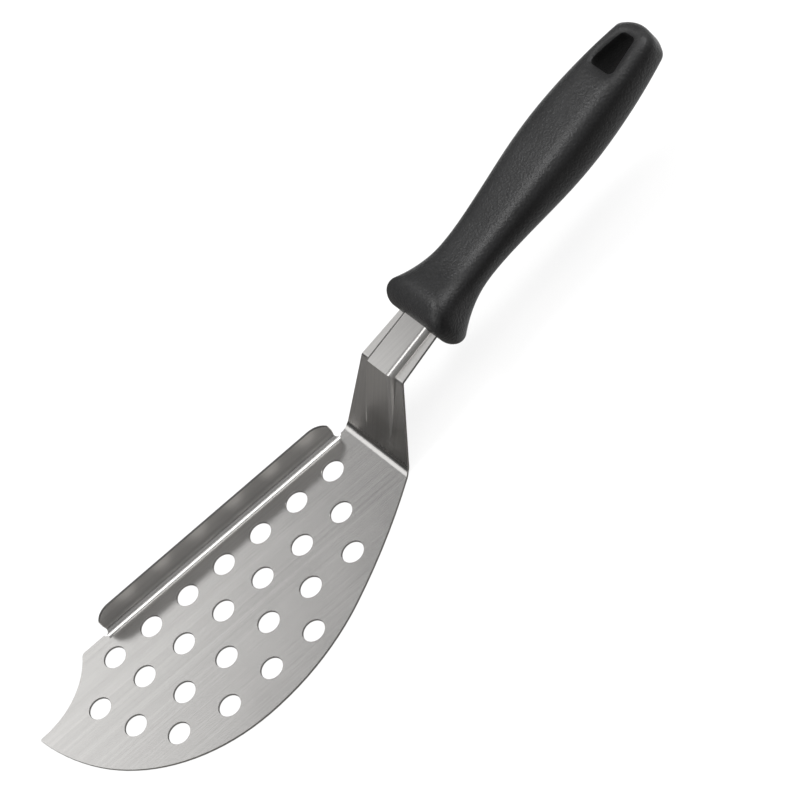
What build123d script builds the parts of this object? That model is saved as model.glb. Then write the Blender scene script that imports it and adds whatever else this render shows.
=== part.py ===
"""Fish spatula: a perforated stainless blade with a side guard, on a moulded handle.

The blade lies with its underside at z = 0. +X runs from the pointed tip towards
the handle, +Y towards the side guard, and +Z is up. The origin is on the
underside, half way along the blade and half way across it.
"""

import os
from math import copysign, cos, hypot, pi, radians, sin, sqrt

from build123d import *

# Sheet metal
sheet = 1.0
guard_bend_radius = 3.4
foot_bend_radius = 4.0
top_bend_radius = 0.8
relief_radius = 1.2

# Blade outline. Its points are shares of the blade's length and width, measured
# from the origin. The curved edge runs from the tip through the belly to the neck.
blade_length = 164.3
blade_width = 80.35
tip_share = 0.2676
tip_land = 1.8
tip_rounding = 0.8
belly_shares = ((-0.4398, -0.0457), (-0.055, -0.5), (0.2473, -0.3385))
front_end_share = -0.3095
front_corner_radius = 2.0

# Side guard, folded up from the straight rear edge between the front and the neck
guard_front_gap = 11.9
guard_neck_gap = 2.3
guard_height = 12.2
guard_corner_radius = 8.0

# Drain holes. A row runs from its first place to its last, as shares of the
# blade's length and width measured from the origin, with a count of holes.
drain_diameter = 9.0
drain_row_shares = (
    ((-0.254, 0.355), (0.389, 0.355), 7),
    ((-0.226, 0.149), (0.345, 0.130), 6),
    ((-0.176, -0.080), (0.309, -0.097), 5),
    ((-0.114, -0.315), (0.133, -0.302), 3),
)
# Nearest the tip, one more hole of each lower row follows the curved edge
drain_tip_shares = ((-0.349, 0.176), (-0.307, -0.042), (-0.240, -0.245))

# Neck: a crank up from the blade, then the shank that enters the handle
neck_turn = 9.0
neck_overhang = 1.2
neck_base_width = 37.4
neck_waist_width = 24.4
shank_end_width = 21.8
crank_rise = 28.0
crank_run = 20.6
shank_length = 20.8
shank_tilt = 6.5
shoulder_run = 3.0
shoulder_radius = 4.0

# Rib pressed up along the crank and the shank, fanning out towards the blade
rib_width = 15.5
rib_top_width = 14.7
rib_fan_width = 18.0
rib_height = 2.5
rib_rounding = 2.4
rib_start_share = 0.2

# Inside the handle the rib runs out, and the shank narrows to a flat tang
rib_end_run = 4.0
rib_fall_run = 11.0
insert_length = 19.0
tang_width = 13.0
tang_length = 60.0
tang_hole_diameter = 5.0
tang_hole_count = 2
tang_hole_pitch = 28.0
tang_fit = 0.05

# Handle moulding, a loft along its axis. It swells out of the waist towards the
# collar at its front and towards the belly behind, and narrows to the heel.
handle_length = 135.8
handle_lift = 0.95
handle_squareness = 5.0
collar_at = 9.0
collar_width = 29.7
collar_height = 21.9
waist_at = 30.0
waist_width = 21.9
waist_height = 12.1
belly_at = 85.0
belly_width = 28.0
belly_height = 18.8
heel_width = 17.0
heel_height = 13.4
# The sides turn in at the front with the lip's radius, which starts before the nose
lip_radius = 8.0
lip_lead = 1.0
# The nose is rounded in side view and the heel in plan
nose_share = 0.495
nose_rounding = 1.5
heel_end_share = 0.76
heel_rounding_share = 0.32
# Stations of the loft, as shares of the stretches front, swell and taper
front_station_shares = (0, 0.04, 0.1, 0.17, 0.26, 0.37, 0.5, 0.67, 0.84, 1)
swell_station_shares = (0.25, 0.5, 0.75, 1)
taper_station_shares = (0.35, 0.7, 1.05)
section_points = 28

# Hanging hole through the handle, wider towards the blade
hang_length = 16.6
hang_wide = 13.4
hang_narrow = 7.0
hang_from_end = 6.0
hang_corner_radius = 2.2
hang_rim_radius = 0.9

# Distance by which a cutting body runs past what it cuts
overrun = 2.0

# Places along and across the blade
rear_y = blade_width / 2
neck_x = blade_length / 2
neck_y = rear_y + neck_overhang - neck_base_width / 2
tip_point = (-blade_length / 2, tip_share * blade_width)
land_end = (tip_point[0] + tip_land, tip_point[1])
front_end = (front_end_share * blade_length, rear_y)
belly_points = [(along * blade_length, across * blade_width) for along, across in belly_shares]
guard_y = rear_y + sheet / 2
bend_line_y = rear_y - guard_bend_radius

# Directions of the neck, with its plan and its side view
neck_axis = Vector(cos(radians(neck_turn)), sin(radians(neck_turn)), 0)
neck_across = Vector(-neck_axis.Y, neck_axis.X, 0)
neck_origin = Vector(neck_x, neck_y, 0)
neck_plan = Plane(origin=neck_origin, x_dir=neck_axis, z_dir=(0, 0, 1))
neck_side = Plane(origin=neck_origin, x_dir=neck_axis, z_dir=-neck_across)

# The sheet's middle line in the side view: blade, crank, shank and insert
shank_dir = Vector(cos(radians(shank_tilt)), sin(radians(shank_tilt)))
shank_normal = Vector(-shank_dir.Y, shank_dir.X)
crank_foot = Vector(0, sheet / 2)
crank_top = crank_foot + Vector(crank_run, crank_rise)
crank_dir = (crank_top - crank_foot).normalized()
crank_normal = Vector(-crank_dir.Y, crank_dir.X)
shank_end = crank_top + shank_dir * shank_length
insert_end = shank_end + shank_dir * insert_length
neck_bends = (foot_bend_radius + sheet / 2, top_bend_radius + sheet / 2)

# Stations of the rib: place on the middle line, its normal in the side view,
# height of the crest and half of the crest's width. It rises out of the crank,
# turns over the bend, follows the shank and sinks again inside the handle.
rib_spread = (rib_width - rib_top_width) / 2 / rib_height
rib_wall_share = hypot(1, rib_spread) - rib_spread
bend_normal = (crank_normal + shank_normal).normalized()
bend_stretch = 1 / bend_normal.dot(shank_normal)
rib_stations = (
    (crank_foot + (crank_top - crank_foot) * rib_start_share, crank_normal, 1, 0, rib_fan_width / 2),
    (crank_top, bend_normal, bend_stretch, rib_height, rib_top_width / 2),
    (shank_end + shank_dir * rib_end_run, shank_normal, 1, rib_height, rib_top_width / 2),
    (shank_end + shank_dir * (rib_end_run + rib_fall_run), shank_normal, 1, 0, rib_top_width / 2),
)

# Planes in line with the shank, for the tang and the handle
shank_axis = neck_axis * shank_dir.X + Vector(0, 0, shank_dir.Y)
shank_up = neck_axis * shank_normal.X + Vector(0, 0, shank_normal.Y)
tang_plane = Plane(neck_side.from_local_coords(shank_end), x_dir=shank_axis, z_dir=shank_up)
handle_plan = tang_plane.offset(handle_lift)
handle_side = Plane(handle_plan.origin, x_dir=shank_axis, z_dir=-neck_across)
handle_axis = Axis(handle_plan.origin, shank_axis)
tang_holes = [
    (insert_length + tang_hole_pitch * (index + 1 / 2), 0) for index in range(tang_hole_count)
]

# Plan outline of the blade behind the front edge: rear edge, then round the neck
neck_stations = (
    (0, neck_base_width / 2),
    (crank_top.X, neck_waist_width / 2),
    (shank_end.X, shank_end_width / 2),
    (insert_end.X + sheet, shank_end_width / 2),
)
neck_far = [neck_plan.from_local_coords((x, half)) for x, half in neck_stations]
neck_near = [neck_plan.from_local_coords((x, -half)) for x, half in reversed(neck_stations)]
guard_x0 = front_end[0] + guard_front_gap
guard_x1 = neck_far[0].X - shoulder_run - guard_neck_gap
rear_edge = (
    (guard_x0, rear_y),
    (guard_x0, bend_line_y),
    (guard_x1, bend_line_y),
    (guard_x1, rear_y),
    (neck_far[0].X - shoulder_run, rear_y),
)


def between(shares, start, end):
    """Return the places at the given shares of the way from start to end."""
    return [start + (end - start) * share for share in shares]


def row_places(first, last, count):
    """Return evenly spaced places from the first share to the last, in real sizes."""
    places = []
    for index in range(count):
        along = first[0] + (last[0] - first[0]) * index / (count - 1)
        across = first[1] + (last[1] - first[1]) * index / (count - 1)
        places.append((along * blade_length, across * blade_width))
    return places


drain_places = [place for row in drain_row_shares for place in row_places(*row)]
handle_stations = between(front_station_shares, -lip_lead / 2, waist_at)
handle_stations += between(swell_station_shares, waist_at, belly_at)
handle_stations += between(taper_station_shares, belly_at, handle_length)
drain_places += [(along * blade_length, across * blade_width) for along, across in drain_tip_shares]


def rib_form(inset):
    """Return the rib lofted through its stations, its top and walls drawn in by the inset."""
    with BuildPart() as form:
        for place, normal, stretch, height, top_half in rib_stations:
            up = neck_axis * normal.X + Vector(0, 0, normal.Y)
            section = Plane(neck_side.from_local_coords(place), x_dir=neck_across, z_dir=neck_across.cross(up))
            crest = (sheet / 2 + height - inset) * stretch
            foot = -3 * sheet * stretch
            crest_half = top_half - inset * rib_wall_share
            foot_half = crest_half + rib_spread * (crest - foot) / stretch
            with BuildSketch(section):
                with BuildLine():
                    FilletPolyline(
                        (-foot_half, foot),
                        (-crest_half, crest),
                        (crest_half, crest),
                        (foot_half, foot),
                        radius=rib_rounding - inset / 2,
                    )
                    Line((foot_half, foot), (-foot_half, foot))
                make_face()
        loft(ruled=True)
    return form.part


def draw_insert(play):
    """Draw the plan of what enters the handle, widened all round by the play."""
    with Locations((-overrun, 0)):
        Rectangle(
            overrun + insert_length + play,
            shank_end_width + 2 * play,
            align=(Align.MIN, Align.CENTER),
        )
        Rectangle(
            overrun + insert_length + tang_length + play,
            tang_width + 2 * play,
            align=(Align.MIN, Align.CENTER),
        )
    with Locations(*tang_holes):
        Circle(tang_hole_diameter / 2 - play, mode=Mode.SUBTRACT)


def handle_half(at, collar, waist, belly, heel):
    """Return half the handle's width or height at a place along its axis."""
    if at < waist_at:
        flare = (waist_at - at) / (waist_at - collar_at)
        return (waist + (collar - waist) * flare**2) / 2
    if at < belly_at:
        swell = (at - waist_at) / (belly_at - waist_at)
        return (waist + (belly - waist) * swell**2 * (3 - 2 * swell)) / 2
    taper = (at - belly_at) / (handle_length - belly_at)
    return (belly + (heel - belly) * taper**2) / 2


def lip_drop(at):
    """Return how far the lip's rounding draws in the side at a place along the axis."""
    reach = max(lip_radius - lip_lead - at, 0)
    return lip_radius - sqrt(lip_radius**2 - reach**2)


def draw_handle_section(half_width, half_height):
    """Draw one rounded, nearly rectangular section of the handle."""
    points = []
    for index in range(section_points):
        turn = 2 * pi * (index + 1 / 2) / section_points
        across = copysign(abs(cos(turn)) ** (2 / handle_squareness), cos(turn))
        upward = copysign(abs(sin(turn)) ** (2 / handle_squareness), sin(turn))
        points.append((half_width * across, half_height * upward))
    Spline(*points, periodic=True)


# The space above the middle of the sheet, from the crank on
with BuildPart() as above_sheet:
    with BuildSketch(neck_side):
        with BuildLine():
            FilletPolyline(crank_foot, crank_top, insert_end, radius=neck_bends[1])
            Polyline(
                insert_end,
                insert_end + shank_normal * crank_rise,
                crank_foot + crank_normal * crank_rise,
                crank_foot,
            )
        make_face()
    extrude(amount=rib_width, both=True)

# Blade, guard, neck and tang: one pressing
with BuildPart() as blade:
    # The bent sheet in side view
    with BuildSketch(neck_side):
        with BuildLine():
            FilletPolyline(
                crank_foot - Vector(2 * blade_length, 0),
                crank_foot,
                crank_top,
                insert_end,
                radius=neck_bends,
            )
        trace(line_width=sheet)
    extrude(amount=blade_width, both=True)

    # Cut to its outline in plan
    with BuildSketch() as plan:
        with BuildLine():
            to_tip = TangentArc(belly_points[1], belly_points[0], tangent=(-1, 0))
            TangentArc(to_tip @ 1, tip_point, tangent=to_tip % 1)
            Line(tip_point, land_end)
            TangentArc(land_end, front_end, tangent=(1, 0))
            Polyline(front_end, *rear_edge, *neck_far, *neck_near)
            to_neck = TangentArc(belly_points[1], belly_points[2], tangent=(1, 0))
            TangentArc(to_neck @ 1, neck_near[-1], tangent=to_neck % 1)
        make_face()
        fillet(plan.vertices().sort_by_distance(tip_point)[0], radius=tip_rounding)
        fillet(plan.vertices().sort_by_distance(front_end)[0], radius=front_corner_radius)
        fillet(plan.vertices().sort_by_distance(rear_edge[-1])[0], radius=shoulder_radius)
    extrude(amount=2 * crank_rise, mode=Mode.INTERSECT)

    # Side guard, with a small relief at each end of its bend
    with BuildSketch(Plane.YZ.offset(guard_x0)):
        with BuildLine():
            FilletPolyline(
                (bend_line_y - sheet, sheet / 2),
                (guard_y, sheet / 2),
                (guard_y, guard_height),
                radius=guard_bend_radius + sheet / 2,
            )
        trace(line_width=sheet)
    extrude(amount=guard_x1 - guard_x0)
    guard_ends = blade.edges().filter_by(Axis.Y)
    fillet(guard_ends.filter_by_position(Axis.Z, guard_height, guard_height), guard_corner_radius)
    with Locations((guard_x0, rear_y), (guard_x1, rear_y)):
        Hole(relief_radius)

    # Drain holes
    with Locations(*drain_places):
        Hole(drain_diameter / 2)

    # Insert and tang, and the hollow rib
    with BuildSketch(tang_plane):
        draw_insert(0)
    extrude(amount=sheet / 2, both=True)
    add(rib_form(0) & above_sheet.part)
    add(rib_form(sheet), mode=Mode.SUBTRACT)

# The space that the insert and tang take in the handle, with its play
with BuildPart() as pocket:
    with BuildSketch(tang_plane):
        draw_insert(tang_fit)
    extrude(amount=sheet / 2 + tang_fit, both=True)
    add(rib_form(-tang_fit) & above_sheet.part)
    add(rib_form(sheet + tang_fit), mode=Mode.SUBTRACT)

# Handle: one moulding round the insert and tang
with BuildPart() as handle:
    # The body, lofted along its axis
    for at in handle_stations:
        half_width = handle_half(at, collar_width, waist_width, belly_width, heel_width)
        half_height = handle_half(at, collar_height, waist_height, belly_height, heel_height)
        section_origin = handle_plan.from_local_coords((at, 0, 0))
        with BuildSketch(Plane(section_origin, x_dir=neck_across, z_dir=shank_axis)):
            with BuildLine():
                draw_handle_section(half_width - lip_drop(at), half_height)
            make_face()
    loft()

    # The front is cut to a rounded nose, and the rim behind it softened
    with BuildSketch(handle_side.offset(-collar_width)):
        with BuildLine():
            nose_radius = nose_share * collar_height
            ThreePointArc((nose_radius, -nose_radius), (0, 0), (nose_radius, nose_radius))
            Polyline(
                (nose_radius, nose_radius),
                (nose_radius, collar_width),
                (handle_length + belly_width, collar_width),
                (handle_length + belly_width, -collar_width),
                (nose_radius, -collar_width),
                (nose_radius, -nose_radius),
            )
        make_face()
    extrude(amount=2 * collar_width, mode=Mode.INTERSECT)
    fillet(handle.faces().sort_by(handle_axis)[0].edges(), radius=nose_rounding)

    # The heel is rounded in plan, and its edge softened
    with BuildSketch(handle_plan.offset(-collar_width)):
        with BuildLine():
            heel_radius = heel_end_share * heel_width
            heel_x = handle_length - heel_radius
            ThreePointArc((heel_x, heel_radius), (handle_length, 0), (heel_x, -heel_radius))
            Polyline(
                (heel_x, -heel_radius),
                (heel_x, -collar_width),
                (-collar_width, -collar_width),
                (-collar_width, collar_width),
                (heel_x, collar_width),
                (heel_x, heel_radius),
            )
        make_face()
    extrude(amount=2 * collar_width, mode=Mode.INTERSECT)
    heel_edges = handle.faces().sort_by(handle_axis)[-1].edges()
    fillet(heel_edges, radius=heel_rounding_share * heel_height)

    # Hanging hole
    with BuildSketch(handle_plan) as hang_plan:
        with BuildLine():
            hang_x1 = handle_length - hang_from_end
            hang_x0 = hang_x1 - hang_length
            Polyline(
                (hang_x0, hang_wide / 2),
                (hang_x1, hang_narrow / 2),
                (hang_x1, -hang_narrow / 2),
                (hang_x0, -hang_wide / 2),
                close=True,
            )
        make_face()
        fillet(hang_plan.vertices(), radius=hang_corner_radius)
    extrude(amount=belly_height, both=True, mode=Mode.SUBTRACT)
    hang_walls = Axis(handle_plan.origin, shank_up)
    hang_rims = handle.edges(Select.LAST).filter_by(hang_walls, reverse=True)
    fillet(hang_rims, radius=hang_rim_radius)
    add(pocket.part, mode=Mode.SUBTRACT)

blade.part.label = "blade"
handle.part.label = "handle"
os.makedirs("parts", exist_ok=True)
export_step(blade.part, "parts/blade.step")
export_step(handle.part, "parts/handle.step")
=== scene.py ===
"""Fish spatula: satin steel blade and moulded grip, dressed and lit for one view.

Lengths are in metres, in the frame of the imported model: the blade lies on z = 0,
+X runs from the pointed tip to the grip and +Y to the side guard.
"""

from __future__ import annotations

import logging
from dataclasses import dataclass, field
from enum import Enum
from math import cos, radians, sin
from typing import Any, Union

import bmesh
import bpy
from mathutils import Matrix, Vector

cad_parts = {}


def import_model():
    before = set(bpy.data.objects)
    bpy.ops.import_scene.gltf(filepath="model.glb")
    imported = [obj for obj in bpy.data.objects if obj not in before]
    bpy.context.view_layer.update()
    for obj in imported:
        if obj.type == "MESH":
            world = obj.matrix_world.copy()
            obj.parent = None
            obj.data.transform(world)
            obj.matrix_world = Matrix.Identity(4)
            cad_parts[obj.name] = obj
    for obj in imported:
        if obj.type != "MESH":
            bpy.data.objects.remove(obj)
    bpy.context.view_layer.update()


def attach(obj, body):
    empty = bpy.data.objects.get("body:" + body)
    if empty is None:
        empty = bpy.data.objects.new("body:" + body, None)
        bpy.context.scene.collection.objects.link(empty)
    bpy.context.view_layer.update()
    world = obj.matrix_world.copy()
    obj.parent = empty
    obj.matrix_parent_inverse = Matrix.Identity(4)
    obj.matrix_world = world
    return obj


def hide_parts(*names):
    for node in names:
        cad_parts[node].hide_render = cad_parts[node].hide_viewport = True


log = logging.getLogger("fish_spatula")

Number = Union[int, float]
Triple = tuple[float, float, float]
MM = 0.001
WELD = 0.002 * MM
SLIVER = 0.001 * MM


class Slot(Enum):
    """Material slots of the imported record."""

    STEEL = "steel"
    GRIP = "grip"


class Sense(Enum):
    """The point of the object that a lamp looks at."""

    BLADE = (-0.02, 0.0, 0.0)
    GRIP = (0.19, 0.04, 0.04)


class Reach(Enum):
    """The piece that a lamp lights besides the floor, by its object's name."""

    STEEL = "perforated_blade"
    GRIP = "moulded_handle"


class Wire:
    """A socket that takes part in arithmetic; each operator adds a Math node."""

    def __init__(self, bench: "Bench", socket: bpy.types.NodeSocket | None) -> None:
        """Keep the socket and its bench.

        Args:
            bench: the bench that further nodes are added on.
            socket: the output socket, or None for a node without outputs.
        """
        self.bench = bench
        self.socket = socket

    def _math(self, operation: str, *values: "Wire | Number", clamp: bool = False) -> "Wire":
        """Add one Math node.

        Args:
            operation: the node's operation.
            values: wires or numbers for its inputs, in order.
            clamp: whether the result is held between 0 and 1.

        Returns:
            The node's result.
        """
        settings = {"operation": operation, "use_clamp": clamp}
        return self.bench.node("ShaderNodeMath", settings, dict(enumerate(values)))

    def __add__(self, other: "Wire | Number") -> "Wire":
        """Add a value to this one.

        Args:
            other: the other wire or number.

        Returns:
            self + other.
        """
        return self._math("ADD", self, other)

    def __radd__(self, other: Number) -> "Wire":
        """Add this value to a number.

        Args:
            other: the number.

        Returns:
            other + self.
        """
        return self._math("ADD", other, self)

    def __sub__(self, other: "Wire | Number") -> "Wire":
        """Take a value from this one.

        Args:
            other: the other wire or number.

        Returns:
            self - other.
        """
        return self._math("SUBTRACT", self, other)

    def __rsub__(self, other: Number) -> "Wire":
        """Take this value from a number.

        Args:
            other: the number.

        Returns:
            other - self.
        """
        return self._math("SUBTRACT", other, self)

    def __mul__(self, other: "Wire | Number") -> "Wire":
        """Multiply this value by another.

        Args:
            other: the other wire or number.

        Returns:
            self * other.
        """
        return self._math("MULTIPLY", self, other)

    def __rmul__(self, other: Number) -> "Wire":
        """Multiply a number by this value.

        Args:
            other: the number.

        Returns:
            other * self.
        """
        return self._math("MULTIPLY", other, self)

    def step(self, start: float, end: float) -> "Wire":
        """Rise from 0 to 1 as this value goes from start to end.

        Args:
            start: the value at which the result leaves 0.
            end: the value at which it reaches 1.

        Returns:
            The held result.
        """
        slope = 1 / (end - start)
        return self._math("MULTIPLY_ADD", self, slope, -start * slope, clamp=True)


@dataclass
class Bench:
    """One node tree and the ways to add to it."""

    tree: bpy.types.NodeTree

    def node(
        self,
        kind: str,
        settings: dict[str, Any] | None = None,
        inputs: dict[Any, Any] | None = None,
        output: Any = 0,
    ) -> Wire:
        """Add a node, choose its settings, then fill its sockets.

        Args:
            kind: the node's type.
            settings: its properties by name.
            inputs: wires or plain values by socket name or number.
            output: the name or number of the socket to return.

        Returns:
            A wire on that output, which is empty for a node that has none.
        """
        made = self.tree.nodes.new(kind)
        for name, value in (settings or {}).items():
            setattr(made, name, value)
        for name, value in (inputs or {}).items():
            self.fill(made.inputs[name], value)
        return Wire(self, made.outputs[output] if made.outputs else None)

    def fill(self, socket: bpy.types.NodeSocket, value: Any) -> None:
        """Link a wire to a socket, or set the socket's own value.

        Args:
            socket: the input socket.
            value: a wire, a number, a colour, a vector or a material.
        """
        if isinstance(value, Wire):
            self.tree.links.new(value.socket, socket)
        elif socket.type == "RGBA":
            socket.default_value = (*value, 1.0)
        else:
            socket.default_value = value


class ShaderBench(Bench):
    """A material's node tree, with the patterns that both finishes use."""

    @classmethod
    def start(cls, name: str) -> tuple[bpy.types.Material, "ShaderBench"]:
        """Make an empty material.

        Args:
            name: the material's name.

        Returns:
            The material and the bench for its tree.
        """
        material = bpy.data.materials.new(name)
        material.use_nodes = True
        material.node_tree.nodes.clear()
        return material, cls(material.node_tree)

    def place(self) -> dict[str, Wire]:
        """Read where on the object the shader is.

        Returns:
            The object's own x, y and z in metres, by the axis's small letter.
        """
        spot = self.node("ShaderNodeTexCoord", output="Object")
        split = self.node("ShaderNodeSeparateXYZ", inputs={0: spot}).socket.node
        return {axis: Wire(self, split.outputs[axis.upper()]) for axis in "xyz"}

    def vector(self, x: Wire | Number, y: Wire | Number, z: Wire | Number) -> Wire:
        """Join three numbers into a vector.

        Args:
            x: its first part.
            y: its second part.
            z: its third part.

        Returns:
            The vector.
        """
        return self.node("ShaderNodeCombineXYZ", inputs={0: x, 1: y, 2: z})

    def noise(
        self, spot: Wire, scale: float = 1.0, detail: float = 2.0, rough: float = 0.5
    ) -> Wire:
        """Sample smooth noise.

        Args:
            spot: where to sample.
            scale: how many features there are to a unit.
            detail: octaves.
            rough: weight of the finer octaves.

        Returns:
            The noise, about 0.5 on average.
        """
        values = {"Vector": spot, "Scale": scale, "Detail": detail, "Roughness": rough}
        return self.node("ShaderNodeTexNoise", {"noise_dimensions": "3D"}, values)

    def blend(self, share: Wire | Number, first: Any, second: Any) -> Wire:
        """Mix two colours.

        Args:
            share: how much of the second colour shows, from 0 to 1.
            first: the first colour, as a wire or three numbers.
            second: the second colour.

        Returns:
            The mixed colour.
        """
        values = {"Factor": share, "A": first, "B": second}
        mix = self.tree.nodes.new("ShaderNodeMix")
        mix.data_type = "RGBA"
        for name, value in values.items():
            wanted = "VALUE" if name == "Factor" else "RGBA"
            socket = next(s for s in mix.inputs if s.name == name and s.type == wanted)
            self.fill(socket, value)
        return Wire(self, next(s for s in mix.outputs if s.type == "RGBA"))

    def close(self, shader: Wire) -> None:
        """Send the finished shader to the material's output.

        Args:
            shader: the shader.
        """
        self.node("ShaderNodeOutputMaterial", inputs={"Surface": shader})


@dataclass(frozen=True)
class SatinSteel:
    """Stainless sheet, brushed along the blade and the neck.

    Attributes:
        dark, light: the tones between which streaks, lines and clouds vary it.
        worn, sheared: the tones of rounded edges, lighter partly for wear and partly as a painted
            highlight, and of the sheet's cut sides.
        tone_weights: how much streaks, lines and clouds count in the tone.
        tone_span: the sums at which the tone is dark and light.
        streaks_along, streaks_across: streaks to a metre, along and across the brushing.
        lines_along, lines_across, lines_lift: the same for the longer lines, the last as
            a share of what the streaks have along z.
        neck_start, neck_run: where z becomes the direction of the brushing.
        fold_start, fold_run, folded_roughness: the height at which folded sheet starts to
            be duller, the height it takes, and by how much.
    """

    name: str = "satin_steel"
    dark: Triple = (0.52, 0.51, 0.5)
    light: Triple = (0.66, 0.65, 0.635)
    wear_and_highlight: Triple = (0.78, 0.77, 0.755)
    wear_and_highlight_share: float = 0.8
    sheared: Triple = (0.2, 0.195, 0.19)
    sheared_share: float = 0.9
    tone_weights: Triple = (0.55, 0.3, 0.35)
    tone_span: tuple[float, float] = (0.42, 0.8)
    roughness: float = 0.11
    streak_roughness: float = 0.12
    cloud_roughness: float = 0.1
    worn_gloss: float = 0.05
    sheared_roughness: float = 0.3
    folded_roughness: float = 0.1
    fold_start: float = 1.2 * MM
    fold_run: float = 3 * MM
    streaks_along: float = 9.0
    streaks_across: float = 2600.0
    streak_detail: float = 4.0
    streak_break: float = 0.65
    lines_along: float = 3.0
    lines_across: float = 620.0
    lines_lift: float = 0.24
    cloud_scale: float = 34.0
    cloud_detail: float = 3.0
    scratch_height: float = 0.009 * MM
    line_height_share: float = 0.5
    neck_start: float = 80 * MM
    neck_run: float = 4 * MM

    def make(self) -> bpy.types.Material:
        """Build the material.

        Returns:
            Steel whose streaks follow the sheet round its bends.
        """
        material, bench = ShaderBench.start(self.name)
        spot = bench.place()
        on_neck = spot["x"].step(self.neck_start, self.neck_start + self.neck_run)
        upright = self.streaks_across - on_neck * (self.streaks_across - self.streaks_along)
        streaks = bench.noise(
            bench.vector(
                spot["x"] * self.streaks_along,
                spot["y"] * self.streaks_across,
                spot["z"] * upright,
            ),
            detail=self.streak_detail,
            rough=self.streak_break,
        )
        lines = bench.noise(
            bench.vector(
                spot["x"] * self.lines_along,
                spot["y"] * self.lines_across,
                spot["z"] * upright * self.lines_lift,
            )
        )
        clouds = bench.noise(
            bench.vector(spot["x"], spot["y"], spot["z"]),
            scale=self.cloud_scale,
            detail=self.cloud_detail,
        )
        # Rounded edges and cut-back hole rims get a lighter tone: partly wear, partly a painted
        # highlight.
        edge = bench.node("ShaderNodeAttribute", {"attribute_name": "edge_wear_and_highlight"}, output="Fac")
        cut = bench.node("ShaderNodeAttribute", {"attribute_name": "sheared"}, output="Fac")
        by_streaks, by_lines, by_clouds = self.tone_weights
        tone = streaks * by_streaks + lines * by_lines + clouds * by_clouds
        colour = bench.blend(tone.step(*self.tone_span), self.dark, self.light)
        colour = bench.blend(edge * self.wear_and_highlight_share, colour, self.wear_and_highlight)
        colour = bench.blend(cut * self.sheared_share, colour, self.sheared)
        folded = spot["z"].step(self.fold_start, self.fold_start + self.fold_run)
        rough = self.roughness + streaks * self.streak_roughness + clouds * self.cloud_roughness
        rough = rough + folded * self.folded_roughness
        rough = rough - edge * self.worn_gloss + cut * self.sheared_roughness
        relief = bench.node(
            "ShaderNodeBump",
            inputs={
                "Strength": 1.0,
                "Distance": self.scratch_height,
                "Height": streaks + lines * self.line_height_share,
            },
        )
        shader = bench.node(
            "ShaderNodeBsdfPrincipled",
            inputs={
                "Base Color": colour,
                "Metallic": 1.0,
                "Roughness": rough,
                "Normal": relief,
            },
        )
        bench.close(shader)
        return material


@dataclass(frozen=True)
class MouldedGrip:
    """Black plastic with the fine grain of an etched mould.

    Attributes:
        dark, light: the tones between which mottling and grain vary it.
        painted_hole_shade: the near-black painted shade on the hanging hole's walls.
        tone_weights: how much mottling and grain count in the tone.
        tone_span: the sums at which the tone is dark and light.
        grain_scale, mottle_scale, rubbed_scale: features to a metre.
        pit_scale_share, pit_height_share: size and depth of the pits beside the grain's.
        rubbed_gloss: how much smoother the hand has made it.
        soft_radius, soft_samples: how far the light runs softly over the rounded edges.
        shine: the plastic's specular level.
    """

    name: str = "moulded_grip"
    dark: Triple = (0.015, 0.015, 0.0153)
    light: Triple = (0.027, 0.027, 0.0275)
    painted_hole_shade: Triple = (0.001, 0.001, 0.001)
    tone_weights: tuple[float, float] = (0.6, 0.5)
    tone_span: tuple[float, float] = (0.35, 0.8)
    roughness: float = 0.36
    grain_roughness: float = 0.14
    rubbed_gloss: float = 0.12
    inner_roughness: float = 0.4
    grain_scale: float = 1300.0
    grain_height: float = 0.2 * MM
    grain_strength: float = 0.8
    pit_scale_share: float = 0.7
    pit_smoothness: float = 0.6
    pit_height_share: float = 0.6
    mottle_scale: float = 55.0
    mottle_detail: float = 4.0
    rubbed_scale: float = 14.0
    noise_break: float = 0.6
    soft_radius: float = 9 * MM
    soft_samples: int = 16
    shine: float = 0.2

    def make(self) -> bpy.types.Material:
        """Build the material.

        Returns:
            Matte plastic with grain, faint mottling, handling sheen and painted shade on the
            hanging hole's walls.
        """
        material, bench = ShaderBench.start(self.name)
        spot = bench.place()
        here = bench.vector(spot["x"], spot["y"], spot["z"])
        grain = bench.noise(here, scale=self.grain_scale, rough=self.noise_break)
        pits = bench.node(
            "ShaderNodeTexVoronoi",
            {"feature": "SMOOTH_F1"},
            {
                "Vector": here,
                "Scale": self.grain_scale * self.pit_scale_share,
                "Smoothness": self.pit_smoothness,
            },
            output="Distance",
        )
        mottle = bench.noise(
            here, scale=self.mottle_scale, detail=self.mottle_detail, rough=self.noise_break
        )
        rubbed = bench.noise(here, scale=self.rubbed_scale)
        by_mottle, by_grain = self.tone_weights
        tone = (mottle * by_mottle + grain * by_grain).step(*self.tone_span)
        # Painted shade: the hanging hole's walls are made near black, and duller.
        hole_wall_shade_mask = bench.node("ShaderNodeAttribute", {"attribute_name": "hole_wall_shade_mask"}, output="Fac")
        colour = bench.blend(tone, self.dark, self.light)
        colour = bench.blend(hole_wall_shade_mask, colour, self.painted_hole_shade)
        rough = self.roughness + grain * self.grain_roughness - rubbed * self.rubbed_gloss
        rough = rough + hole_wall_shade_mask * self.inner_roughness
        softened = bench.node(
            "ShaderNodeBevel", {"samples": self.soft_samples}, {"Radius": self.soft_radius}
        )
        relief = bench.node(
            "ShaderNodeBump",
            inputs={
                "Strength": self.grain_strength,
                "Distance": self.grain_height,
                "Height": grain + pits * self.pit_height_share,
                "Normal": softened,
            },
        )
        shader = bench.node(
            "ShaderNodeBsdfPrincipled",
            inputs={
                "Base Color": colour,
                "Roughness": rough,
                "Normal": relief,
                "Specular IOR Level": self.shine,
            },
        )
        bench.close(shader)
        return material


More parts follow.
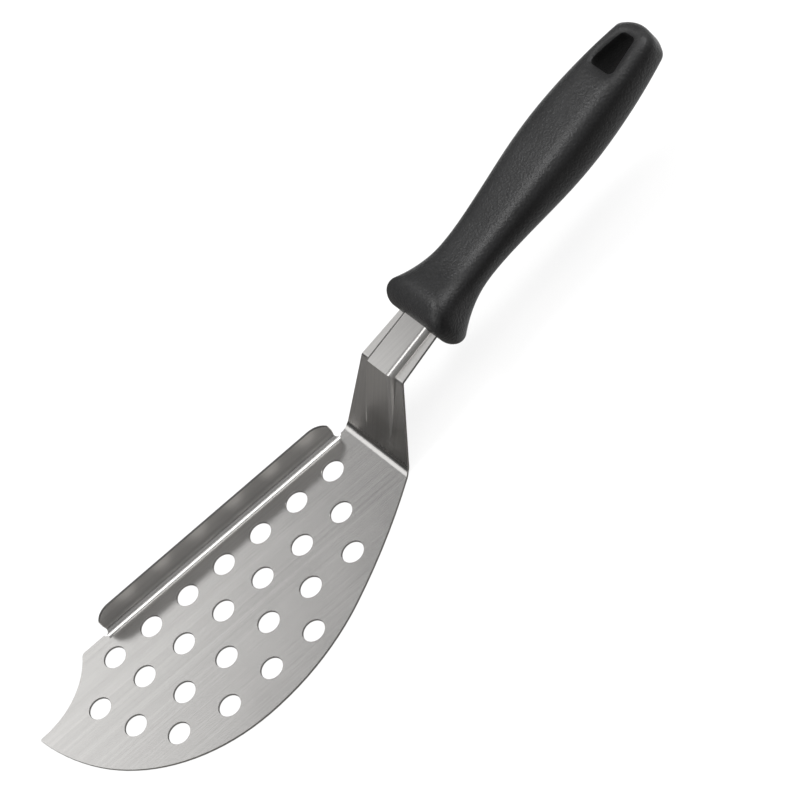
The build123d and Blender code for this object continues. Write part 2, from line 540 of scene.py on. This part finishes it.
@dataclass(frozen=True)
class StudioWhite:
    """White sweep that keeps the object's soft shadow.

    Attributes:
        colour: its tone where it is seen and lit.
        bounce: its tone for the light that it throws back on the object.
        shadow_share: how much of what is seen of it is lit, and so takes shadow.
    """

    name: str = "studio_white"
    colour: Triple = (0.9, 0.9, 0.9)
    bounce: Triple = (0.25, 0.25, 0.25)
    shadow_share: float = 0.14

    def make(self) -> bpy.types.Material:
        """Build the material.

        Returns:
            Matt white, part plain and part lit where it is seen or mirrored.
        """
        material, bench = ShaderBench.start(self.name)
        path = bench.tree.nodes.new("ShaderNodeLightPath")
        ray = {name: Wire(bench, path.outputs[name]) for name in path.outputs.keys()}
        seen = ray["Is Camera Ray"] + ray["Is Glossy Ray"] + ray["Is Transmission Ray"]
        bounce = bench.node("ShaderNodeBsdfDiffuse", inputs={"Color": self.bounce})
        lit = bench.node("ShaderNodeBsdfDiffuse", inputs={"Color": self.colour})
        white = bench.node("ShaderNodeEmission", inputs={"Color": (1, 1, 1), "Strength": 1.0})
        share = {0: self.shadow_share, 1: white, 2: lit}
        sweep = bench.node("ShaderNodeMixShader", inputs=share)
        bench.close(bench.node("ShaderNodeMixShader", inputs={0: seen, 1: bounce, 2: sweep}))
        return material


def solid_copy(node: str, name: str) -> bpy.types.Object:
    """Copy a node of the frame with its loose triangles joined.

    Args:
        node: the node's name.
        name: the new object's name.

    Returns:
        An object at the origin with a closed mesh.
    """
    source = bpy.data.objects[node].data
    mesh = bpy.data.meshes.new(name)
    work = bmesh.new()
    work.from_mesh(source)
    bmesh.ops.remove_doubles(work, verts=work.verts, dist=WELD)
    bmesh.ops.dissolve_degenerate(work, edges=work.edges, dist=SLIVER)
    work.to_mesh(mesh)
    work.free()
    copy = bpy.data.objects.new(name, mesh)
    bpy.context.scene.collection.objects.link(copy)
    return copy


def shade(mesh: bpy.types.Mesh, angle: float) -> None:
    """Shade a mesh smooth within an angle, with flat faces kept flat.

    At each corner, the faces round the vertex that turn less than the angle from the
    corner's own face are averaged by area, so a crease stays sharp up to its end.

    Args:
        mesh: the mesh.
        angle: the largest angle that is smoothed, in degrees.
    """
    mesh.shade_smooth()
    limit = cos(radians(angle))
    facing = [face.normal.copy() for face in mesh.polygons]
    weight = [face.area for face in mesh.polygons]
    round_vertex: list[list[int]] = [[] for _ in mesh.vertices]
    for face in mesh.polygons:
        for vertex in face.vertices:
            round_vertex[vertex].append(face.index)
    normals: list[Vector] = []
    for face in mesh.polygons:
        own = facing[face.index]
        for vertex in face.vertices:
            alike = (i for i in round_vertex[vertex] if facing[i].dot(own) > limit)
            total = sum((facing[i] * weight[i] for i in alike), Vector())
            normals.append(total.normalized() if total.length > 0 else own)
    mesh.normals_split_custom_set(normals)


def keep_result(piece: bpy.types.Object, modifier: bpy.types.Modifier) -> None:
    """Replace a piece's mesh with what its one modifier makes of it.

    Args:
        piece: the piece.
        modifier: the modifier, which is removed.
    """
    graph = bpy.context.evaluated_depsgraph_get()
    result = bpy.data.meshes.new_from_object(piece.evaluated_get(graph), depsgraph=graph)
    piece.modifiers.remove(modifier)
    piece.data = result


def dress(piece: bpy.types.Object, material: bpy.types.Material) -> None:
    """Give a piece its one material and its body.

    Args:
        piece: the piece.
        material: its finish.
    """
    piece.data.materials.clear()
    piece.data.materials.append(material)
    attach(piece, "root")


@dataclass
class HoleRow:
    """Evenly spaced drain holes in the plane of the blade.

    Attributes:
        first, last: the x and y of the first hole's and the last hole's centre.
        count: how many holes there are.
    """

    first: tuple[float, float]
    last: tuple[float, float]
    count: int


@dataclass
class DrainHoleEdges(Bench):
    """Geometry nodes that break the sharp edges of the drain holes.

    Attributes:
        tree: the node tree.
        hole_radius: the holes' radius.
        edge_width: how far each rim is cut back.
        sheet: the sheet's thickness.
        overrun: how far the cutters reach past the sheet and into the hole.
        cone_sides: the cutters' number of sides.
        rows: the holes.
    """

    tree: bpy.types.NodeTree = field(
        default_factory=lambda: bpy.data.node_groups.new("drain_hole_edges", "GeometryNodeTree")
    )
    hole_radius: float = 4.5 * MM
    edge_width: float = 0.14 * MM
    sheet: float = 1.0 * MM
    overrun: float = 0.2 * MM
    cone_sides: int = 64
    rows: tuple[HoleRow, ...] = ()

    def socket(self, name: str, kind: str, way: str = "INPUT") -> None:
        """Add a named socket to the tree's interface.

        Args:
            name: its name.
            kind: its type.
            way: INPUT or OUTPUT.
        """
        self.tree.interface.new_socket(name=name, in_out=way, socket_type=kind)

    def make(self) -> bpy.types.NodeTree:
        """Build the tree.

        Returns:
            A tree that takes the blade and cuts each hole's two rims back.
        """
        self.socket("Geometry", "NodeSocketGeometry")
        self.socket("Geometry", "NodeSocketGeometry", "OUTPUT")
        for name in ("Hole radius", "Edge width", "Sheet", "Overrun"):
            self.socket(name, "NodeSocketFloat")
        self.socket("Steel", "NodeSocketMaterial")
        for index in range(len(self.rows)):
            self.socket(f"Row {index + 1} first", "NodeSocketVector")
            self.socket(f"Row {index + 1} last", "NodeSocketVector")
            self.socket(f"Row {index + 1} holes", "NodeSocketInt")
        entry = self.tree.nodes.new("NodeGroupInput")
        given = {s.name: Wire(self, s) for s in entry.outputs if s.name}
        places = self.tree.nodes.new("GeometryNodeJoinGeometry")
        for index in range(len(self.rows)):
            label = f"Row {index + 1}"
            line = self.node(
                "GeometryNodeMeshLine",
                {"mode": "END_POINTS"},
                {
                    "Count": given[f"{label} holes"],
                    "Start Location": given[f"{label} first"],
                    "Offset": given[f"{label} last"],
                },
            )
            self.tree.links.new(line.socket, places.inputs[0])
        reach = given["Edge width"] + given["Overrun"]
        wide = given["Hole radius"] + reach
        slim = given["Hole radius"] - given["Overrun"]
        depth = reach + given["Overrun"]
        top = self.cone(slim, wide, depth)
        lift = given["Sheet"] - reach
        top = self.node(
            "GeometryNodeTransform", inputs={"Geometry": top, "Translation": self.up(lift)}
        )
        low = self.cone(wide, slim, depth)
        drop = given["Overrun"] * -1.0
        low = self.node(
            "GeometryNodeTransform", inputs={"Geometry": low, "Translation": self.up(drop)}
        )
        cutter = self.tree.nodes.new("GeometryNodeJoinGeometry")
        self.tree.links.new(top.socket, cutter.inputs[0])
        self.tree.links.new(low.socket, cutter.inputs[0])
        cutters = self.node(
            "GeometryNodeInstanceOnPoints",
            inputs={
                "Points": Wire(self, places.outputs[0]),
                "Instance": Wire(self, cutter.outputs[0]),
            },
        )
        cutters = self.node("GeometryNodeRealizeInstances", inputs={0: cutters})
        cut = self.node(
            "GeometryNodeMeshBoolean",
            {"operation": "DIFFERENCE", "solver": "EXACT"},
            {"Mesh 1": given["Geometry"], "Mesh 2": cutters},
        )
        whole = self.node("GeometryNodeRealizeInstances", inputs={0: cut})
        steel = self.node(
            "GeometryNodeSetMaterial", inputs={"Geometry": whole, "Material": given["Steel"]}
        )
        self.node("NodeGroupOutput", inputs={0: steel})
        return self.tree

    def up(self, height: Wire) -> Wire:
        """Turn a height into a vector.

        Args:
            height: the height.

        Returns:
            The vector along Z.
        """
        return self.node("ShaderNodeCombineXYZ", inputs={"Z": height})

    def cone(self, bottom: Wire, top: Wire, depth: Wire) -> Wire:
        """Add a capped cone that stands on its base.

        Args:
            bottom: its radius at the base.
            top: its radius at the top.
            depth: its height.

        Returns:
            The cone's mesh.
        """
        values = {
            "Vertices": self.cone_sides,
            "Radius Bottom": bottom,
            "Radius Top": top,
            "Depth": depth,
        }
        return self.node("GeometryNodeMeshCone", {"fill_type": "NGON"}, values, output="Mesh")

    def apply(self, piece: bpy.types.Object, steel: bpy.types.Material) -> None:
        """Run the tree on a piece and keep its result as a plain mesh.

        Args:
            piece: the blade, with its holes' edges still sharp.
            steel: the material that the tree sets.
        """
        values: dict[str, Any] = {
            "Hole radius": self.hole_radius,
            "Edge width": self.edge_width,
            "Sheet": self.sheet,
            "Overrun": self.overrun,
            "Steel": steel,
        }
        for index, row in enumerate(self.rows):
            values[f"Row {index + 1} first"] = (*row.first, 0.0)
            values[f"Row {index + 1} last"] = (*row.last, 0.0)
            values[f"Row {index + 1} holes"] = row.count
        modifier = piece.modifiers.new("drain_hole_edges", "NODES")
        modifier.node_group = self.make()
        for item in self.tree.interface.items_tree:
            if item.in_out == "INPUT" and item.name in values:
                modifier[item.identifier] = values[item.name]
        keep_result(piece, modifier)


@dataclass
class Blade:
    """Blade, side guard, neck and tang: one pressing of stainless sheet.

    Attributes:
        length, width, sheet: the flat blade's length, its width and its thickness.
        hole_radius: the drain holes' radius.
        broken_edge, edge_segments: size and steps of the rounding of square edges.
        square_angle, flat_angle: the angles in degrees from which an edge is rounded and
            up to which faces are joined.
        neck_turn, neck_y, neck_inner: the neck's turn in plan in degrees, where its middle
            meets the blade, and how far from its middle the cut sides start.
        neck_gap, guard_gap: how far past the bends the neck and the guard start.
        steep, guard_steep: the slopes below which a face is a cut side.
        slack, rim_slope, pan_reach: the bounds within which a face is a hole's rim.
        smooth_angle: the largest angle in degrees that is shaded smooth.
        rows: first place, last place and number of holes, in shares of length and width.
        tip_holes: the single holes by the tip, in the same shares.
    """

    length: float = 164.3 * MM
    width: float = 80.35 * MM
    sheet: float = 1.0 * MM
    hole_radius: float = 4.5 * MM
    broken_edge: float = 0.16 * MM
    edge_segments: int = 2
    square_angle: float = 70.0
    flat_angle: float = 0.2
    neck_turn: float = 9.0
    neck_y: float = 22.675 * MM
    neck_inner: float = 9.5 * MM
    neck_gap: float = 1 * MM
    guard_gap: float = 1.5 * MM
    steep: float = 0.15
    guard_steep: float = 0.5
    slack: float = 0.1 * MM
    rim_slope: tuple[float, float] = (0.5, 0.9)
    pan_reach: float = 36 * MM
    smooth_angle: float = 28.0
    rows: tuple[tuple[tuple[float, float], tuple[float, float], int], ...] = (
        ((-0.254, 0.355), (0.389, 0.355), 7),
        ((-0.226, 0.149), (0.345, 0.130), 6),
        ((-0.176, -0.080), (0.309, -0.097), 5),
        ((-0.114, -0.315), (0.133, -0.302), 3),
    )
    tip_holes: tuple[tuple[float, float], ...] = (
        (-0.349, 0.176),
        (-0.307, -0.042),
        (-0.240, -0.245),
    )

    def place(self, share: tuple[float, float]) -> tuple[float, float]:
        """Turn shares of the blade's length and width into a place on it.

        Args:
            share: the two shares, from the blade's middle.

        Returns:
            The place's x and y.
        """
        return share[0] * self.length, share[1] * self.width

    def hole_rows(self) -> tuple[HoleRow, ...]:
        """Work out where the drain holes are.

        Returns:
            The rows, with the single holes by the tip last.
        """
        rows = [HoleRow(self.place(a), self.place(b), n) for a, b, n in self.rows]
        rows += [HoleRow(self.place(p), self.place(p), 1) for p in self.tip_holes]
        return tuple(rows)

    def break_edges(self, piece: bpy.types.Object) -> None:
        """Round the sheet's square edges, as tumbling leaves them, and mark them for a lighter
        tone that is partly wear and partly a painted highlight.

        Args:
            piece: the blade, with its drain holes' edges already cut back.
        """
        work = bmesh.new()
        work.from_mesh(piece.data)
        bmesh.ops.remove_doubles(work, verts=work.verts, dist=WELD)
        bmesh.ops.dissolve_limit(
            work, angle_limit=radians(self.flat_angle), verts=work.verts, edges=work.edges
        )
        # Mark for the lighter edge tone: partly wear, partly a painted highlight.
        wear = work.faces.layers.float.new("edge_wear_and_highlight")
        cut = work.faces.layers.float.new("sheared")
        for face in work.faces:
            face[wear] = float(self.is_hole_edge(face))
            face[cut] = float(self.is_sheared(face))
        square = [
            edge
            for edge in work.edges
            if len(edge.link_faces) == 2
            and edge.is_convex
            and edge.calc_face_angle() > radians(self.square_angle)
        ]
        rounded = bmesh.ops.bevel(
            work,
            geom=square,
            offset=self.broken_edge,
            segments=self.edge_segments,
            profile=0.5,
            affect="EDGES",
            clamp_overlap=True,
        )
        for face in rounded["faces"]:
            face[wear] = 1.0
            face[cut] = 0.0
        work.to_mesh(piece.data)
        work.free()

    def is_hole_edge(self, face: bmesh.types.BMFace) -> bool:
        """Tell whether a face is the cut-back rim of a drain hole.

        Args:
            face: the face.

        Returns:
            Whether it is one.
        """
        centre = face.calc_center_median()
        low, high = self.rim_slope
        on_sheet = -self.slack < centre.z < self.sheet + self.slack
        return on_sheet and low < abs(face.normal.z) < high and centre.y < self.pan_reach

    def is_sheared(self, face: bmesh.types.BMFace) -> bool:
        """Tell whether a face is a cut side of the sheet, not its rolled surface.

        Args:
            face: the face.

        Returns:
            Whether it is one.
        """
        centre = face.calc_center_median()
        normal = face.normal
        if centre.x > self.length / 2 + self.neck_gap:
            turn = radians(self.neck_turn)
            offset = centre - Vector((self.length / 2, self.neck_y, 0))
            across = abs(offset.y * cos(turn) - offset.x * sin(turn))
            return abs(normal.z) < self.steep and across > self.neck_inner
        if centre.y > self.width / 2 - self.guard_gap and centre.z > self.guard_gap:
            return abs(normal.y) < self.guard_steep
        return abs(normal.z) < self.steep

    def build(self, steel: bpy.types.Material) -> bpy.types.Object:
        """Make the finished blade in place of the plain one.

        Args:
            steel: its finish.

        Returns:
            The piece.
        """
        piece = solid_copy("blade", Reach.STEEL.value)
        edges = DrainHoleEdges(
            hole_radius=self.hole_radius, sheet=self.sheet, rows=self.hole_rows()
        )
        edges.apply(piece, steel)
        self.break_edges(piece)
        shade(piece.data, self.smooth_angle)
        dress(piece, steel)
        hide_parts("blade")
        return piece


@dataclass
class Handle:
    """Grip moulded over the tang, with its hanging hole.

    Attributes:
        smooth_angle: the largest angle in degrees that is shaded smooth.
        hole_centre, hole_axis: the middle and the direction of the hanging hole.
        hole_reach, rim_depth: how far from its middle the hole's walls reach, across and
            along its axis.
        wall_slope: the slope towards the axis below which a face is a wall.
    """

    smooth_angle: float = 32.0
    hole_centre: Triple = (242 * MM, 48 * MM, 45.5 * MM)
    hole_axis: Triple = (-0.1118, -0.0177, 0.9936)
    hole_reach: float = 11 * MM
    rim_depth: float = 7.5 * MM
    wall_slope: float = 0.25

    def mark_hole_wall_shade(self, mesh: bpy.types.Mesh) -> None:
        """Mark the walls of the hanging hole, which get painted shade, near black, and a duller
        finish.

        Args:
            mesh: the handle's mesh.
        """
        marks = mesh.attributes.new("hole_wall_shade_mask", "FLOAT", "FACE")
        axis = Vector(self.hole_axis)
        for face in mesh.polygons:
            offset = face.center - Vector(self.hole_centre)
            depth = offset.dot(axis)
            across = offset - axis * depth
            upright = abs(face.normal.dot(axis)) < self.wall_slope
            inwards = face.normal.dot(across) < 0
            near = abs(depth) < self.rim_depth and across.length < self.hole_reach
            marks.data[face.index].value = float(upright and inwards and near)

    def build(self, plastic: bpy.types.Material) -> bpy.types.Object:
        """Make the finished handle in place of the plain one.

        Args:
            plastic: its finish.

        Returns:
            The piece.
        """
        piece = solid_copy("handle", Reach.GRIP.value)
        self.mark_hole_wall_shade(piece.data)
        shade(piece.data, self.smooth_angle)
        dress(piece, plastic)
        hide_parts("handle")
        return piece


@dataclass
class SoftBox:
    """A rectangular lamp that looks at one point of the object and lights one piece.

    Attributes:
        name: the lamp's name.
        place: where it hangs.
        size: its width and height.
        power: its power in watts.
        sense: what it looks at.
        reach: the piece that it lights, besides the floor.
        spin: its turn about its own direction, in degrees.
    """

    name: str
    place: Triple
    size: tuple[float, float]
    power: float
    sense: Sense
    reach: Reach
    spin: float = 0.0

    def build(self, floor: bpy.types.Object) -> bpy.types.Object:
        """Place the lamp.

        Args:
            floor: the floor, which every lamp lights.

        Returns:
            The lamp's object.
        """
        lamp = bpy.data.lights.new(self.name, "AREA")
        lamp.shape = "RECTANGLE"
        lamp.size, lamp.size_y = self.size
        lamp.energy = self.power
        holder = bpy.data.objects.new(self.name, lamp)
        bpy.context.scene.collection.objects.link(holder)
        look = Vector(self.sense.value) - Vector(self.place)
        turn = look.to_track_quat("-Z", "Y").to_matrix().to_4x4()
        turn = turn @ Matrix.Rotation(radians(self.spin), 4, "Z")
        holder.matrix_world = Matrix.Translation(self.place) @ turn
        lit = bpy.data.collections.new(f"lit_by_{self.name}")
        lit.objects.link(bpy.data.objects[self.reach.value])
        lit.objects.link(floor)
        holder.light_linking.receiver_collection = lit
        return holder


@dataclass
class Studio:
    """Floor, lamps, surroundings and camera.

    Attributes:
        floor_half, floor_drop: half the floor's side, and how far it lies under the blade.
        world_low, world_high, world_rise: the surroundings' light at the horizon and
            overhead, and the heights between which it rises, as parts of a unit sphere.
        target, distance, elevation, roll: what the camera looks at, from how far, and its
            angles in degrees.
        focal_share, sensor: the focal length in widths of the picture, and the sensor's
            width in millimetres.
        clip: the nearest and the farthest distance that the camera sees.
        lamps: the lamps.
        cards: two opposite corners and the level of each card that only reflections show, a dim
            glow that paints the steel's reflections.
        card_tint: the colour of the cards' glow.
    """

    floor_half: float = 3.0
    floor_drop: float = 0.02 * MM
    world_low: float = 0.05
    world_high: float = 0.34
    world_rise: tuple[float, float] = (0.3, 0.7)
    target: Triple = (99.75 * MM, 34.25 * MM, 0.0)
    distance: float = 1.8
    elevation: float = 48.1
    roll: float = 40.6
    focal_share: float = 4870.6 / 800
    sensor: float = 36.0
    clip: tuple[float, float] = (0.1, 20.0)
    lamps: tuple[SoftBox, ...] = (
        SoftBox("back_box", (-0.71, 1.56, 1.6), (1.0, 1.4), 4.8, Sense.BLADE, Reach.STEEL, -65.0),
        SoftBox("front_box", (0.0, -0.4, 1.8), (1.6, 0.6), 9.0, Sense.BLADE, Reach.STEEL),
        SoftBox("low_box", (0.0, -1.8, 0.7), (1.6, 0.8), 1.5, Sense.BLADE, Reach.STEEL),
        SoftBox("right_box", (1.5, 0.1, 1.4), (1.2, 1.2), 32.0, Sense.GRIP, Reach.GRIP),
        SoftBox("rim_box", (-0.4, 1.4, 1.6), (0.8, 1.0), 0.8, Sense.GRIP, Reach.GRIP),
        SoftBox("left_box", (-1.6, 0.1, 1.1), (1.2, 1.2), 19.0, Sense.GRIP, Reach.GRIP),
        SoftBox("top_box", (-0.15, 0.5, 1.8), (1.0, 0.4), 24.0, Sense.GRIP, Reach.GRIP),
    )
    cards: tuple[tuple[tuple[float, float], tuple[float, float], float], ...] = (
        ((-0.6, 0.05), (0.13, 0.7), 0.25),
        ((-0.6, -0.045), (0.13, 0.05), 0.55),
        ((-0.6, -0.6), (0.13, -0.045), 0.25),
        ((0.13, -0.6), (0.6, 0.0), 0.25),
    )
    card_tint: Triple = (1.0, 0.97, 0.94)

    def build_floor(self, white: bpy.types.Material) -> bpy.types.Object:
        """Lay the floor under the blade.

        Args:
            white: its material.

        Returns:
            The floor's object.
        """
        half = self.floor_half
        signs = ((-1, -1), (1, -1), (1, 1), (-1, 1))
        spots = [(x * half, y * half, -self.floor_drop) for x, y in signs]
        mesh = bpy.data.meshes.new("studio_floor")
        mesh.from_pydata(spots, [], [(0, 1, 2, 3)])
        floor = bpy.data.objects.new("studio_floor", mesh)
        bpy.context.scene.collection.objects.link(floor)
        mesh.materials.append(white)
        return floor

    def build_cards(self) -> bpy.types.Object:
        """Lay dim glowing cards beside the blade that only reflections show, as painted
        reflections on the steel.

        Returns:
            The object of all the cards.
        """
        material, bench = ShaderBench.start("dark_card")
        level = bench.node("ShaderNodeAttribute", {"attribute_name": "level"}, output="Fac")
        # Painted reflection: each card glows at its level and is seen only in reflections.
        glow = {"Color": self.card_tint, "Strength": level}
        bench.close(bench.node("ShaderNodeEmission", inputs=glow))
        spots: list[Triple] = []
        for (x0, y0), (x1, y1), _ in self.cards:
            spots += [(x0, y0, 0.0), (x1, y0, 0.0), (x1, y1, 0.0), (x0, y1, 0.0)]
        sides = [tuple(range(first, first + 4)) for first in range(0, len(spots), 4)]
        mesh = bpy.data.meshes.new("dark_card")
        mesh.from_pydata(spots, [], sides)
        mesh.materials.append(material)
        levels = mesh.attributes.new("level", "FLOAT", "FACE")
        for mark, (_, _, shown) in zip(levels.data, self.cards):
            mark.value = shown
        card = bpy.data.objects.new("dark_card", mesh)
        bpy.context.scene.collection.objects.link(card)
        card.visible_camera = False
        card.visible_diffuse = False
        card.visible_shadow = False
        card.visible_transmission = False
        return card

    def build_surroundings(self) -> None:
        """Surround the scene with grey light that grows from the horizon up."""
        world = bpy.data.worlds.new("studio_surroundings")
        bpy.context.scene.world = world
        world.use_nodes = True
        world.node_tree.nodes.clear()
        bench = Bench(world.node_tree)
        way = bench.node("ShaderNodeTexCoord", output="Generated")
        height = bench.node("ShaderNodeSeparateXYZ", inputs={0: way}, output="Z")
        rise = height.step(*self.world_rise) * (self.world_high - self.world_low)
        values = {"Color": (1.0, 1.0, 1.0), "Strength": rise + self.world_low}
        light = bench.node("ShaderNodeBackground", inputs=values)
        bench.node("ShaderNodeOutputWorld", inputs={"Surface": light})

    def build_camera(self) -> bpy.types.Object:
        """Place the camera and make it the scene's.

        Returns:
            The camera's object.
        """
        lift, roll = radians(self.elevation), radians(self.roll)
        right = Vector((1, 0, 0))
        up = Vector((0, sin(lift), cos(lift)))
        back = Vector((0, -cos(lift), sin(lift)))
        across = right * cos(roll) - up * sin(roll)
        upward = right * sin(roll) + up * cos(roll)
        spot = Vector(self.target) + back * self.distance
        lens = bpy.data.cameras.new("photo_camera")
        lens.sensor_width = self.sensor
        lens.lens = self.sensor * self.focal_share
        lens.clip_start, lens.clip_end = self.clip
        camera = bpy.data.objects.new("photo_camera", lens)
        bpy.context.scene.collection.objects.link(camera)
        turn = Matrix((across, upward, back)).transposed().to_4x4()
        camera.matrix_world = Matrix.Translation(spot) @ turn
        bpy.context.scene.camera = camera
        return camera

    def build(self) -> None:
        """Set up the whole studio."""
        floor = self.build_floor(StudioWhite().make())
        self.build_cards()
        self.build_surroundings()
        self.build_camera()
        for lamp in self.lamps:
            lamp.build(floor)
        bpy.context.scene.view_settings.view_transform = "Standard"


def report(piece: bpy.types.Object) -> None:
    """Log a finished piece with its count of faces.

    Args:
        piece: the piece.
    """
    log.info("%s: %d faces", piece.name, len(piece.data.polygons))


def main() -> None:
    """Load the frame, build and dress each piece, and set up the studio."""
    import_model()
    report(Blade().build(SatinSteel().make()))
    report(Handle().build(MouldedGrip().make()))
    Studio().build()


if __name__ == "__main__":
    logging.basicConfig(level=logging.INFO, format="%(name)s %(message)s")
    main()
